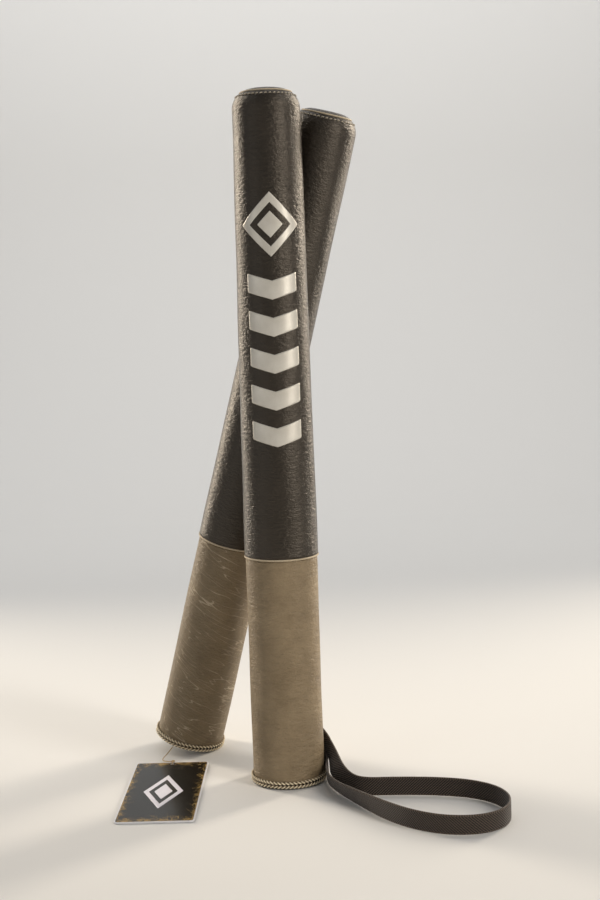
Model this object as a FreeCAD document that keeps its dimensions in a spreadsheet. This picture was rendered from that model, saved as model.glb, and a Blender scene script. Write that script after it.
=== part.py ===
"""A pair of padded focus training sticks, one standing on its butt and one leaning across it.

Each stick is a plastic core tube with end plugs, inside foam sleeves, inside stitched leather
covers: a long striking part over a shorter grip. A webbing wrist strap is sewn to the grip of the
standing stick, and a printed card hangs by a string from the butt of the leaning one.

The origin is the middle of the standing stick's butt face, +Z is up along that stick, and the
leaning stick stands behind it on the +Y side. All sizes are in millimetres.
"""
import FreeCAD, Part
import math
import os
import re

V = FreeCAD.Vector
UP = V(0, 0, 1)
doc = FreeCAD.newDocument("focus_training_sticks")

# ---------------------------------------------------------------- driving dimensions
SIZES = [
    ("stick_length", 603, "overall length of one stick"),
    ("grip_length", 202, "butt face to the middle of the rolled lip"),
    ("grip_diameter", 63, "outside of the grip leather"),
    ("striking_diameter", 64.8, "outside of the striking leather beside the lip"),
    ("tip_diameter", 58, "outside of the striking leather carried on to the tip"),
    ("tip_round", 17, "radius of the rounded tip edge"),
    ("leather_thickness", 1.5, "covers and end discs"),
    ("fit_gap", 0.15, "clearance between nested layers of one stick"),
    ("body_gap", 0.3, "clearance between bodies that move apart"),
    ("tube_diameter", 25, "core tube, outside"),
    ("tube_wall", 2.5, "core tube wall"),
    ("plug_flange", 2, "core plug head thickness"),
    ("plug_depth", 16, "core plug spigot inside the tube"),
    ("tip_pad_depth", 18, "foam disc over the tube's tip end"),
    ("butt_pad_top", 12, "top of the firm disc under the tube"),
    ("butt_disc", 2, "thickness of the butt disc"),
    ("butt_edge_round", 1.5, "rounded edge of the butt disc"),
    ("lip_thickness", 1.6, "rolled hem at the top of the grip"),
    ("lip_stand", 0.5, "how far the hem stands outside the striking leather"),
    ("braid_thickness", 3.5, "one row of braided lacing"),
    ("braid_base", 0.55, "lowest point of the lower lacing row"),
    ("tip_seam_inset", 7, "tip seam circle inside the tip radius"),
    ("piping_thickness", 1.6, "welt cord in the tip seam"),
    ("stitch_length", 2.6, "one stitch of thread"),
    ("stitch_pitch", 3.6, "stitch spacing"),
    ("thread_thickness", 0.7, "sewing thread"),
    ("tip_stitch_drop", 5, "tip seam to stitch row, along the leather"),
    ("welt_width", 3, "back seam welt"),
    ("welt_height", 0.8, "back seam welt"),
    ("welt_end_gap", 3, "welt end to the lip, lacing or tip edge"),
    ("welt_azimuth", 130, "back seam, degrees from +X"),
    ("patch_width", 27, "leather patch over the strap ends, around the grip"),
    ("patch_height", 42, "leather patch, along the grip"),
    ("patch_thickness", 3.5, "patch with the strap ends inside"),
    ("patch_low", 10, "butt face to the patch's lower edge"),
    ("patch_azimuth", 75, "patch, degrees from +X"),
    ("patch_stitch_inset", 2.6, "patch edge to its stitch row"),
    ("lean_angle", 15.6, "leaning stick from the vertical, degrees"),
    ("lean_heading", -23.3, "way that the leaning tip points, degrees from +X"),
    ("crossing_along", 480.5, "crossing, along the leaning stick"),
    ("strap_width", 16, "webbing width"),
    ("strap_thickness", 1.8, "webbing thickness"),
    ("strap_end_low", 21, "butt face to the middle of the near end"),
    ("strap_end_high", 40, "butt face to the middle of the far end"),
    ("string_thickness", 0.9, "tag string"),
    ("knot_thickness", 3.4, "knot across"),
    ("knot_length", 2.4, "knot along the string"),
    ("tag_width", 67, "hang tag"),
    ("tag_length", 150, "hang tag"),
    ("tag_thickness", 1.3, "hang tag board"),
    ("tag_corner", 4, "hang tag corner radius"),
    ("tag_hole", 3.6, "punched hole diameter"),
    ("tag_hole_inset", 5, "tag edge to the middle of the hole"),
    ("tag_film", 0.15, "printed film on the board"),
    ("tag_film_inset", 1.3, "bare edge of the board around the film"),
    ("tag_heading", 88, "way that the tag's upper end points, degrees from +X"),
    ("tag_lift", 1.15, "upper end of the tag above the floor, on its string"),
]

sheet = doc.addObject("Spreadsheet::Sheet", "Sizes")
for row, (alias, value, note) in enumerate(SIZES, 1):
    sheet.set(f"A{row}", alias)
    sheet.set(f"B{row}", str(value))
    sheet.set(f"C{row}", note)
    sheet.setAlias(f"B{row}", alias)
doc.recompute()


def size(alias):
    """The value of one cell of the sheet."""
    return float(sheet.get(alias))


def cells(text):
    """An expression in size names, turned into one that reads the sheet's cells."""
    return re.sub(r"\b([a-z]+(?:_[a-z]+)+)\b", r"Sizes.\1", str(text))


# ---------------------------------------------------------------- levels shared by the pieces
GRIP_R = "grip_diameter / 2"
STRIKE_R = "striking_diameter / 2"
TIP_R = "tip_diameter / 2"
TUBE_R = "tube_diameter / 2"
CAP_TOP = "(braid_base + braid_thickness)"
GRIP_TOP = "(grip_length - lip_thickness / 2 - fit_gap)"
COVER_START = "(grip_length + lip_thickness / 2 + fit_gap)"
PAD_BOTTOM = "(stick_length - tip_pad_depth)"
TUBE_BOTTOM = "(butt_pad_top + plug_flange + 2 * fit_gap)"
TUBE_TOP = f"({PAD_BOTTOM} - plug_flange - 2 * fit_gap)"
SEAM_R = "(tip_diameter / 2 - tip_seam_inset)"
ROUND_BASE = "(stick_length - tip_round)"
SEAM_Z = f"({ROUND_BASE} + sqrt(tip_round ^ 2 - (tip_round - tip_seam_inset) ^ 2))"


# ---------------------------------------------------------------- document helpers
def bind(thing, **sizes):
    """Bind an object's properties to expressions; a double underscore stands for a dot."""
    for name, text in sizes.items():
        thing.setExpression(name.replace("__", "."), cells(text))
    return thing


def cylinder(name, radius, low, high):
    """An upright cylinder from one level to another."""
    thing = doc.addObject("Part::Cylinder", name)
    return bind(thing, Radius=radius, Height=f"({high}) - ({low})", Placement__Base__z=low)


def torus(name, ring, thickness, level):
    """A level ring of round section."""
    thing = doc.addObject("Part::Torus", name)
    return bind(thing, Radius1=ring, Radius2=f"({thickness}) / 2", Placement__Base__z=level)


def cut(name, base, tool):
    thing = doc.addObject("Part::Cut", name)
    thing.Base, thing.Tool = base, tool
    return thing


def common(name, base, tool):
    thing = doc.addObject("Part::Common", name)
    thing.Base, thing.Tool = base, tool
    return thing


def fuse(name, base, tool):
    thing = doc.addObject("Part::Fuse", name)
    thing.Base, thing.Tool = base, tool
    return thing


def sleeve(name, outer, inner, low, high):
    """A straight tube: a cylinder less a longer, thinner one."""
    outside = cylinder(name + "_outside", outer, low, high)
    inside = cylinder(name + "_inside", inner, f"{low} - 1", f"{high} + 1")
    return cut(name, outside, inside)


def edge_at(shape, level):
    """The name of the circular edge that lies at a level."""
    for index, edge in enumerate(shape.Edges, 1):
        box = edge.BoundBox
        if abs(box.ZMin - level) < 1e-4 and abs(box.ZMax - level) < 1e-4:
            return f"Edge{index}"
    raise ValueError(f"no edge at {level}")


def striking_form(name, inset):
    """The solid outline of the striking part, moved in by an inset, with its rounded tip."""
    body = doc.addObject("PartDesign::Body", name)
    cone = body.newObject("PartDesign::AdditiveCone", name + "_cone")
    bind(cone, Radius1=f"{STRIKE_R} - ({inset})", Radius2=f"{TIP_R} - ({inset})",
         Height=f"stick_length - ({inset}) - {COVER_START}", Placement__Base__z=COVER_START)
    doc.recompute()
    round_edge = body.newObject("PartDesign::Fillet", name + "_round")
    round_edge.Base = (cone, [edge_at(cone.Shape, cone.Shape.BoundBox.ZMax)])
    bind(round_edge, Radius=f"tip_round - ({inset})")
    body.Tip = round_edge
    return body


PARTS = []


def keep(thing, label, placement):
    """Name a finished sub-part, set it in its place and list it for export.

    A primitive whose level is bound to the sheet keeps that level inside a compound.
    """
    if any(path.startswith("Placement") or path.startswith(".Placement")
           for path, _ in thing.ExpressionEngine):
        holder = doc.addObject("Part::Compound", label + "_holder")
        holder.Links = [thing]
        thing = holder
    thing.Label = label
    thing.Placement = placement
    PARTS.append(thing)
    return thing


def keep_shape(label, shape, placement):
    """A sub-part whose shape is worked out by a function."""
    thing = doc.addObject("Part::Feature", label)
    thing.Shape = shape
    return keep(thing, label, placement)


# ---------------------------------------------------------------- where the leaning stick stands
def taper():
    """How much the striking part's radius shrinks for each millimetre towards the tip."""
    run = size("stick_length") - size("grip_length")
    return (size("striking_diameter") - size("tip_diameter")) / 2 / run


def striking_radius_at(level):
    """Outer radius of the tapered striking part at a distance from the butt."""
    return size("striking_diameter") / 2 - taper() * (level - size("grip_length"))


def leaning_placement():
    """The leaning stick rests on the edge of its butt and passes clear behind the other one.

    Its axis crosses the upright axis at the distance of both radii and one clearance. Two tapered
    sticks come closest a little below the crossing, so that distance is divided by the share that
    the taper leaves there. The base is raised until the lowest point of the butt edge or of the
    lower lacing is on the floor.
    """
    lean = math.radians(size("lean_angle"))
    heading = math.radians(size("lean_heading"))
    radius, edge = size("grip_diameter") / 2, size("butt_edge_round")
    lacing = size("braid_thickness") / 2
    disc_low = edge * math.cos(lean) - (radius - edge) * math.sin(lean) - edge
    lacing_z = size("braid_base") + lacing
    lacing_low = lacing_z * math.cos(lean) - radius * math.sin(lean) - lacing
    raised = -min(disc_low, lacing_low)
    along = size("crossing_along")
    level = raised + along * math.cos(lean)
    touching = striking_radius_at(level) + striking_radius_at(along)
    share = 1 - taper() ** 2 / (2 * math.sin(lean / 2) ** 2)
    apart = (touching + size("body_gap")) / share
    back = along * math.sin(lean)
    forward = V(math.cos(heading), math.sin(heading), 0)
    aside = V(-math.sin(heading), math.cos(heading), 0)
    base = aside * apart - forward * back + UP * raised
    return FreeCAD.Placement(base, FreeCAD.Rotation(aside, math.degrees(lean)))


# ---------------------------------------------------------------- one stick
def stitch(middle, run, outward):
    """One stitch: a flat bar of thread lying along `run`, its underside on the leather."""
    length, thick = size("stitch_length"), size("thread_thickness")
    across = outward.cross(run)
    bar = Part.makeBox(length, thick, thick, V(-length / 2, -thick / 2, size("fit_gap")))
    axes = FreeCAD.Rotation(run, across, outward, "XYZ")
    bar.Placement = FreeCAD.Placement(middle, axes)
    return bar


def core(side, place):
    """Plastic tube with a flanged plug in each end."""
    tube = sleeve(f"{side}_tube", TUBE_R, f"{TUBE_R} - tube_wall", TUBE_BOTTOM, TUBE_TOP)
    keep(tube, f"{side}_core_tube", place)
    spigot_r = f"{TUBE_R} - tube_wall - fit_gap"
    ends = {
        "butt": ("butt_pad_top + fit_gap", f"{TUBE_BOTTOM} - fit_gap", "plug_depth"),
        "tip": (f"{PAD_BOTTOM} - fit_gap", f"{TUBE_TOP} + fit_gap", "-plug_depth"),
    }
    for end, (outer_face, seat, reach) in ends.items():
        name = f"{side}_plug_{end}"
        low, high = (outer_face, seat) if end == "butt" else (seat, outer_face)
        flange = cylinder(name + "_flange", TUBE_R, low, high)
        tip = f"{seat} + {reach}"
        low, high = (seat, tip) if end == "butt" else (tip, seat)
        spigot = cylinder(name + "_spigot", spigot_r, low, high)
        keep(fuse(name, flange, spigot), f"{side}_core_plug_{end}", place)


def padding(side, place):
    """Foam sleeves around the tube and a foam or rubber disc at each end."""
    bore = f"{TUBE_R} + fit_gap"
    inside = "(leather_thickness + fit_gap)"
    grip = sleeve(f"{side}_grip_foam_sleeve", f"{GRIP_R} - {inside}", bore,
                  "butt_pad_top + fit_gap", f"{COVER_START} - fit_gap")
    keep(grip, f"{side}_grip_foam", place)
    form = striking_form(f"{side}_foam_form", inside)
    hole = cylinder(f"{side}_foam_bore", bore, f"{COVER_START} - 1", PAD_BOTTOM)
    top = cylinder(f"{side}_foam_top", STRIKE_R, f"{PAD_BOTTOM} - fit_gap", "stick_length")
    bored = cut(f"{side}_foam_bored", form, hole)
    keep(cut(f"{side}_foam_body", bored, top), f"{side}_striking_foam", place)
    crown = cylinder(f"{side}_tip_block", STRIKE_R, PAD_BOTTOM, "stick_length")
    keep(common(f"{side}_tip_disc", form, crown), f"{side}_tip_pad", place)
    disc = cylinder(f"{side}_butt_disc", f"{GRIP_R} - {inside}", "butt_disc + fit_gap",
                    "butt_pad_top")
    keep(disc, f"{side}_butt_pad", place)


def covers(side, place):
    """Stitched leather: striking cover, tip disc, grip cover, rolled lip and butt disc."""
    outer = striking_form(f"{side}_cover_form", "0")
    inner = striking_form(f"{side}_cover_inside", "leather_thickness")
    shell = cut(f"{side}_cover_shell", outer, inner)
    groove = torus(f"{side}_seam_groove", SEAM_R, "piping_thickness + 2 * fit_gap", SEAM_Z)
    window = cylinder(f"{side}_tip_window", SEAM_R, ROUND_BASE, "stick_length + 1")
    opened = cut(f"{side}_cover_opened", shell, window)
    keep(cut(f"{side}_cover", opened, groove), f"{side}_striking_cover", place)
    lid = cylinder(f"{side}_tip_lid", f"{SEAM_R} - fit_gap", ROUND_BASE, "stick_length + 1")
    disc = common(f"{side}_tip_shell", shell, lid)
    keep(cut(f"{side}_tip_leather", disc, groove), f"{side}_tip_cap", place)
    welt = torus(f"{side}_piping_ring", SEAM_R, "piping_thickness", SEAM_Z)
    keep(welt, f"{side}_tip_piping", place)
    grip = sleeve(f"{side}_grip_sleeve", GRIP_R, f"{GRIP_R} - leather_thickness",
                  f"{CAP_TOP} + fit_gap", GRIP_TOP)
    keep(grip, f"{side}_grip_cover", place)
    ring = f"{STRIKE_R} + lip_stand - lip_thickness / 2"
    lip = torus(f"{side}_lip_ring", ring, "lip_thickness", "grip_length")
    keep(lip, f"{side}_grip_lip", place)


def butt(side, place):
    """Butt disc with an upturned skirt, and the two braided lacing rows over its seam."""
    body = doc.addObject("PartDesign::Body", f"{side}_butt_body")
    disc = body.newObject("PartDesign::AdditiveCylinder", f"{side}_butt_blank")
    bind(disc, Radius=GRIP_R, Height=CAP_TOP)
    doc.recompute()
    edge = body.newObject("PartDesign::Fillet", f"{side}_butt_round")
    edge.Base = (disc, [edge_at(disc.Shape, 0)])
    bind(edge, Radius="butt_edge_round")
    hollow = body.newObject("PartDesign::SubtractiveCylinder", f"{side}_butt_hollow")
    bind(hollow, Radius=f"{GRIP_R} - leather_thickness", Height=CAP_TOP,
         Placement__Base__z="butt_disc")
    body.Tip = hollow
    keep(body, f"{side}_butt_cap", place)
    rows = {"lower": "braid_base + braid_thickness / 2",
            "upper": "braid_base + braid_thickness * 1.5"}
    for row_name, level in rows.items():
        name = f"{side}_braid_{row_name}"
        ring = torus(name + "_ring", GRIP_R, "braid_thickness", level)
        wall = cylinder(name + "_wall", f"{GRIP_R} + fit_gap", f"{level} - braid_thickness",
                        f"{level} + braid_thickness")
        keep(cut(name, ring, wall), f"{side}_lacing_{row_name}", place)


def tip_stitches(side, place):
    """The ring of stitches just outside the tip seam, lying on the rounded leather."""
    big, slope = size("tip_round"), taper()
    ring = size("tip_diameter") / 2 + slope * big - big * math.hypot(1, slope)
    seam = math.acos((big - size("tip_seam_inset")) / big)
    angle = seam - size("tip_stitch_drop") / big
    radius = ring + big * math.cos(angle)
    level = size("stick_length") - big + big * math.sin(angle)
    count = int(2 * math.pi * radius / size("stitch_pitch"))
    bars = []
    for index in range(count):
        turn = 2 * math.pi * index / count
        radial = V(math.cos(turn), math.sin(turn), 0)
        outward = radial * math.cos(angle) + UP * math.sin(angle)
        bars.append(stitch(radial * radius + UP * level, UP.cross(radial), outward))
    keep_shape(f"{side}_tip_stitching", Part.makeCompound(bars), place)


def seam_welts(side, place):
    """The raised back seams: one along the grip, one along the tapered striking part."""
    width, height, spare = size("welt_width"), size("welt_height"), size("welt_end_gap")
    turn = FreeCAD.Rotation(UP, size("welt_azimuth"))
    lift = size("fit_gap") / 2
    lacing_top = size("braid_base") + 2 * size("braid_thickness")
    grip_low, grip_high = lacing_top + spare, size("grip_length") - spare
    strike_low = size("grip_length") + spare
    strike_high = size("stick_length") - size("tip_round") - spare
    runs = {
        "grip_welt": (grip_low, grip_high, size("grip_diameter") / 2, size("grip_diameter") / 2),
        "striking_welt": (strike_low, strike_high, striking_radius_at(strike_low),
                          striking_radius_at(strike_high)),
    }
    for label, (low, high, radius_low, radius_high) in runs.items():
        rise = math.degrees(math.atan2(radius_low - radius_high, high - low))
        name = f"{side}_{label}"
        bar = doc.addObject("Part::Box", name)
        bind(bar, Width="welt_width", Length="welt_height")
        bar.Height = high - low
        lean = FreeCAD.Rotation(V(0, 1, 0), -rise)
        own = FreeCAD.Placement(V(radius_low + lift, -width / 2, low), lean)
        keep(bar, name, place * FreeCAD.Placement(V(), turn) * own)


def strap_patch(side, place):
    """The curved leather patch over the strap ends, with its ring of stitches."""
    radius, thick = size("grip_diameter") / 2 + size("fit_gap"), size("patch_thickness")
    span = size("patch_width") / radius
    name = f"{side}_patch"
    blank = doc.addObject("Part::Cylinder", name + "_blank")
    bind(blank, Radius=f"{GRIP_R} + fit_gap + patch_thickness", Height="patch_height",
         Placement__Base__z="patch_low")
    blank.Angle = math.degrees(span)
    bore = cylinder(name + "_bore", f"{GRIP_R} + fit_gap", "patch_low - 1",
                    "patch_low + patch_height + 1")
    start = size("patch_azimuth") - math.degrees(span) / 2
    turned = place * FreeCAD.Placement(V(), FreeCAD.Rotation(UP, start))
    keep(cut(name, blank, bore), f"{side}_strap_patch", turned)
    inset = size("patch_stitch_inset")
    outer = radius + thick
    low = size("patch_low") + inset
    high = size("patch_low") + size("patch_height") - inset
    edge = inset / outer
    bars = []
    rows = int((high - low) / size("stitch_pitch"))
    for turn in (edge, span - edge):
        radial = V(math.cos(turn), math.sin(turn), 0)
        for index in range(rows):
            level = low + (index + 0.5) * (high - low) / rows
            bars.append(stitch(radial * outer + UP * level, UP, radial))
    columns = int((span - 2 * edge) * outer / size("stitch_pitch"))
    for level in (low, high):
        for index in range(columns):
            turn = edge + (index + 0.5) * (span - 2 * edge) / columns
            radial = V(math.cos(turn), math.sin(turn), 0)
            bars.append(stitch(radial * outer + UP * level, UP.cross(radial), radial))
    keep_shape(f"{side}_patch_stitching", Part.makeCompound(bars), turned)


def build_stick(side, place):
    core(side, place)
    padding(side, place)
    covers(side, place)
    butt(side, place)
    tip_stitches(side, place)
    seam_welts(side, place)
    strap_patch(side, place)


# ---------------------------------------------------------------- routes of soft pieces
def corner_arcs(points):
    """For each inner point of a route: the arc's start, middle, end and radius."""
    arcs = []
    for before, here, after in zip(points, points[1:], points[2:]):
        one, two = before - here, after - here
        half_turn = (math.pi - one.getAngle(two)) / 2
        reach = 0.45 * min(one.Length, two.Length)
        radius = reach / math.tan(half_turn)
        one.normalize()
        two.normalize()
        middle = one + two
        middle.normalize()
        depth = radius / math.cos(half_turn) - radius
        arcs.append((here + one * reach, here + middle * depth, here + two * reach, radius))
    return arcs


def rounded_wire(points):
    """Straight runs joined by tangent arcs, as one wire."""
    edges, at = [], points[0]
    for start, middle, end, _ in corner_arcs(points):
        edges.append(Part.LineSegment(at, start).toShape())
        edges.append(Part.Arc(start, middle, end).toShape())
        at = end
    edges.append(Part.LineSegment(at, points[-1]).toShape())
    return Part.Wire(edges)


def tube_along(label, points, thickness):
    """A round cord along a route, compared with its section times its length."""
    path = rounded_wire(points)
    ring = Part.Wire(Part.makeCircle(thickness / 2, points[0], points[1] - points[0]))
    solid = path.makePipeShell([ring], True, False)
    full = math.pi * thickness ** 2 / 4 * path.Length
    radii = " ".join(f"{arc[3]:.1f}" for arc in corner_arcs(points))
    print(f"{label}: length {path.Length:.1f}, volume {solid.Volume / full:.4f} of full, arcs {radii}")
    return solid


def flat_offset(points, shift):
    """A level route moved sideways by `shift`, as straight edges and arcs from first to last."""
    edges = []
    runs = [(b - a).normalize() for a, b in zip(points, points[1:])]
    sides = [UP.cross(run) * shift for run in runs]
    at = points[0] + sides[0]
    for (start, middle, end, _), before, after in zip(corner_arcs(points), sides, sides[1:]):
        turn = before + after
        turn.normalize()
        bend = Part.Arc(start + before, middle + turn * abs(shift), end + after)
        edges.append(Part.LineSegment(at, start + before).toShape())
        edges.append(bend.toShape())
        at = end + after
    edges.append(Part.LineSegment(at, points[-1] + sides[-1]).toShape())
    return edges


# The wrist strap's floor loop: the middle of the webbing, which stands on its edge.
STRAP_LOOP = [(79, -116), (97, -136), (120, -151), (146, -154), (166, -145), (177, -128),
              (179.5, -107), (172, -86), (154, -70), (131, -61.5), (106, -57), (82.5, -55)]
# The near leg, from the loop back to the patch: middle of the webbing, way its width points.
NEAR_LEG = [((59.4, -85.2, 8.2), (-0.2, -0.15, 0.97)), ((39.6, -49.1, 7.6), (-0.42, -0.26, 0.87)),
            ((33, -20.5, 8.3), (-0.1, -0.1, 0.98)), ((35, -3, 9), (-0.05, 0, 1)),
            ((34, 8.6, 10.8), (0, -0.2, 0.98)), ((29.7, 18.7, 15.3), (0.2, -0.2, 0.95))]
# The far leg, the same way.
FAR_LEG = [((68, -54.6, 8.3), (0.05, 0, 1)), ((56.5, -50, 8.8), (0.14, -0.05, 0.98)),
           ((48.3, -40, 11), (0.36, -0.14, 0.92)), ((41.6, -26.4, 15.4), (0.6, -0.16, 0.78)),
           ((40, -12.5, 18.2), (0.46, -0.2, 0.86)), ((38.8, 0, 21.5), (0.22, -0.25, 0.94)),
           ((32.5, 19.5, 30.8), (0.12, -0.25, 0.96))]


def webbing_section(middle, run, width_way):
    """A rectangle of webbing across the run, its long side along `width_way`."""
    wide = width_way - run * width_way.dot(run)
    wide.normalize()
    thin = run.cross(wide) * (size("strap_thickness") / 2)
    wide = wide * (size("strap_width") / 2)
    corners = [middle + wide + thin, middle + wide - thin, middle - wide - thin,
               middle - wide + thin]
    return Part.makePolygon(corners + corners[:1])


def webbing_leg(loop_end, loop_run, stations, end, end_run):
    """A twisting leg of webbing: flat facets between rectangles set along the route."""
    middles = [loop_end] + [V(*middle) for middle, _ in stations] + [end]
    ways = [UP] + [V(*way) for _, way in stations] + [UP]
    steps = [(b - a).normalize() for a, b in zip(middles, middles[1:])]
    turns = [(one + two).normalize() for one, two in zip(steps, steps[1:])]
    runs = [loop_run] + turns + [end_run]
    wires = [webbing_section(*each) for each in zip(middles, runs, ways)]
    return Part.makeLoft(wires, True, True)


def strap_end(level):
    """Where one end of the strap leaves the side of the patch, and the way in under it."""
    radius = size("grip_diameter") / 2 + size("fit_gap")
    span = size("patch_width") / radius
    turn = math.radians(size("patch_azimuth")) - span / 2
    radial = V(math.cos(turn), math.sin(turn), 0)
    inward = UP.cross(radial)
    middle = radius + size("patch_thickness") / 2
    return radial * middle - inward * size("body_gap") + UP * level, inward


def wrist_strap():
    """The webbing loop: a level loop on its edge, and two twisting legs up to the patch."""
    half = size("strap_width") / 2
    loop = [V(x, y, 0) for x, y in STRAP_LOOP]
    thick = size("strap_thickness") / 2
    left, right = flat_offset(loop, thick), flat_offset(loop, -thick)
    ends = [Part.LineSegment(left[0].firstVertex().Point, right[0].firstVertex().Point).toShape(),
            Part.LineSegment(left[-1].lastVertex().Point, right[-1].lastVertex().Point).toShape()]
    outline = Part.Wire(Part.__sortEdges__(left + right + ends))
    band = Part.Face(outline).extrude(UP * size("strap_width"))
    band.translate(UP * (half_floor() - half))
    level = UP * half_floor()
    near = webbing_leg(loop[0] + level, (loop[0] - loop[1]).normalize(), NEAR_LEG,
                       *strap_end(size("strap_end_low")))
    far = webbing_leg(loop[-1] + level, (loop[-1] - loop[-2]).normalize(), FAR_LEG,
                      *strap_end(size("strap_end_high")))
    whole = band.fuse([near, far]).removeSplitter()
    radii = " ".join(f"{arc[3]:.0f}" for arc in corner_arcs(loop))
    length = whole.Volume / size("strap_width") / size("strap_thickness")
    print(f"wrist strap: length by volume {length:.0f}, solids {len(whole.Solids)}, arcs {radii}")
    return whole


def half_floor():
    """Height of the webbing's middle when it stands on the floor."""
    return size("strap_width") / 2 + size("body_gap")


# ---------------------------------------------------------------- hang tag
# The string, from the lacing of the leaning butt to the knot, as steps from its first point
# across the floor, with the height of each point above the floor.
STRING_STEPS = [(-4, -4, 4.2), (-8.5, -9.5, 1.2), (-9, -16.5, 0.7), (-4.3, -20.6, 0.9)]
# The string leaves the butt edge here, in degrees round it from the side that it leans to.
STRING_EXIT_TURN = 267
KNOT_STEP = (1.9, -24.1)


def string_exit(place):
    """Where the string comes out from under the lower lacing of the leaning stick."""
    turn = math.radians(STRING_EXIT_TURN + size("lean_heading"))
    radius = size("grip_diameter") / 2 + size("braid_thickness") / 4
    return place.multVec(V(radius * math.cos(turn), radius * math.sin(turn), 0.1))


def tag_placement(exit_point):
    """Tag frame: origin at the underside of the card's upper edge, +X towards the knot."""
    heading, lift = size("tag_heading"), size("tag_lift")
    pitch = math.degrees(math.asin(lift / size("tag_length")))
    turned = FreeCAD.Rotation(UP, heading) * FreeCAD.Rotation(V(0, 1, 0), -pitch)
    way = V(math.cos(math.radians(heading)), math.sin(math.radians(heading)), 0)
    knot = V(exit_point.x + KNOT_STEP[0], exit_point.y + KNOT_STEP[1], 0)
    edge = knot - way * (size("knot_length") + size("knot_thickness") / 2)
    return FreeCAD.Placement(edge + UP * lift, turned)


def card(name, inset, low, thickness):
    """A sketched card outline with rounded corners and the punched hole, as a pad."""
    body = doc.addObject("PartDesign::Body", name)
    pad = body.newObject("PartDesign::AdditiveBox", name + "_blank")
    bind(pad, Length=f"tag_length - 2 * ({inset})", Width=f"tag_width - 2 * ({inset})",
         Height=thickness, Placement__Base__x=f"-tag_length + {inset}",
         Placement__Base__y=f"-tag_width / 2 + {inset}", Placement__Base__z=low)
    doc.recompute()
    corners = [f"Edge{index}" for index, edge in enumerate(pad.Shape.Edges, 1)
               if edge.BoundBox.XLength < 1e-4 and edge.BoundBox.YLength < 1e-4]
    rounds = body.newObject("PartDesign::Fillet", name + "_corners")
    rounds.Base = (pad, corners)
    bind(rounds, Radius=f"tag_corner - ({inset})")
    hole = body.newObject("PartDesign::SubtractiveCylinder", name + "_hole")
    bind(hole, Radius="tag_hole / 2", Height=f"{thickness} + 2", Placement__Base__z=f"{low} - 1",
         Placement__Base__x="-tag_hole_inset")
    body.Tip = hole
    return body


def hang_tag(stick_place):
    """Board, printed film, the string loop through the hole, the knot and the string."""
    exit_point = string_exit(stick_place)
    place = tag_placement(exit_point)
    thick, thread = size("tag_thickness"), size("string_thickness")
    keep(card("tag_board", "0", "0", "tag_thickness"), "tag_card", place)
    keep(card("tag_print", "tag_film_inset", "tag_thickness", "tag_film"), "tag_film", place)
    clear = size("fit_gap")
    upper = thick + size("tag_film") + clear + thread / 2
    lower = -clear - thread / 2
    bend = (upper - lower) / 2
    middle = (upper + lower) / 2
    turn_x = -size("tag_hole_inset") + bend / 2
    knot_face = size("knot_thickness") / 2
    strands = [Part.LineSegment(V(knot_face, 0, upper), V(turn_x, 0, upper)).toShape(),
               Part.Arc(V(turn_x, 0, upper), V(turn_x - bend, 0, middle),
                        V(turn_x, 0, lower)).toShape(),
               Part.LineSegment(V(turn_x, 0, lower), V(knot_face, 0, lower)).toShape()]
    ring = Part.Wire(Part.makeCircle(thread / 2, V(knot_face, 0, upper), V(1, 0, 0)))
    loop = Part.Wire(strands).makePipeShell([ring], True, False)
    keep_shape("tag_loop", loop, place)
    knot = doc.addObject("Part::Cylinder", "tag_knot_barrel")
    bind(knot, Radius="knot_thickness / 2", Height="knot_length")
    own = FreeCAD.Placement(V(knot_face, 0, middle), FreeCAD.Rotation(V(0, 1, 0), 90))
    keep(knot, "tag_knot", place * own)
    entry = place.multVec(V(knot_face + size("knot_length"), 0, middle))
    route = [exit_point]
    route += [V(exit_point.x + x, exit_point.y + y, level) for x, y, level in STRING_STEPS]
    route.append(entry)
    keep_shape("tag_string", tube_along("tag_string", route, thread), FreeCAD.Placement())
    print("string route:", [tuple(round(c, 2) for c in point) for point in route])


# ---------------------------------------------------------------- build, check and write
leaning = leaning_placement()
build_stick("front", FreeCAD.Placement())
build_stick("rear", leaning)
keep_shape("wrist_strap", wrist_strap(), FreeCAD.Placement())
hang_tag(leaning)
doc.recompute()

for thing in doc.Objects:
    bad = [state for state in thing.State if state in ("Invalid", "Error")]
    if bad:
        raise RuntimeError(f"{thing.Name} is {bad}")
for thing in PARTS:
    if thing.Shape.isNull() or not thing.Shape.isValid() or not thing.Shape.Solids:
        raise RuntimeError(f"{thing.Label} has no valid solid")

os.makedirs("parts", exist_ok=True)
for thing in PARTS:
    thing.Shape.exportStep(f"parts/{thing.Label}.step")
print(f"{len(PARTS)} sub-parts written; leaning base {leaning.Base}")
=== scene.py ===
# %% [markdown]
# # A pair of padded focus training sticks
# A coach holds one of these in each hand, and the other fighter strikes or dodges it. Each stick
# is a plastic tube in a foam sleeve, sewn into black leather above and taupe leather at the grip.
# One stands on its butt with its wrist strap on the floor; the other leans across behind it, with
# a printed tag on a string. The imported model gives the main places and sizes, and this file adds
# the fine shapes and the look.

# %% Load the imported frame
import math

import bmesh
import bpy
import numpy as np
from mathutils import Matrix, Vector


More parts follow.
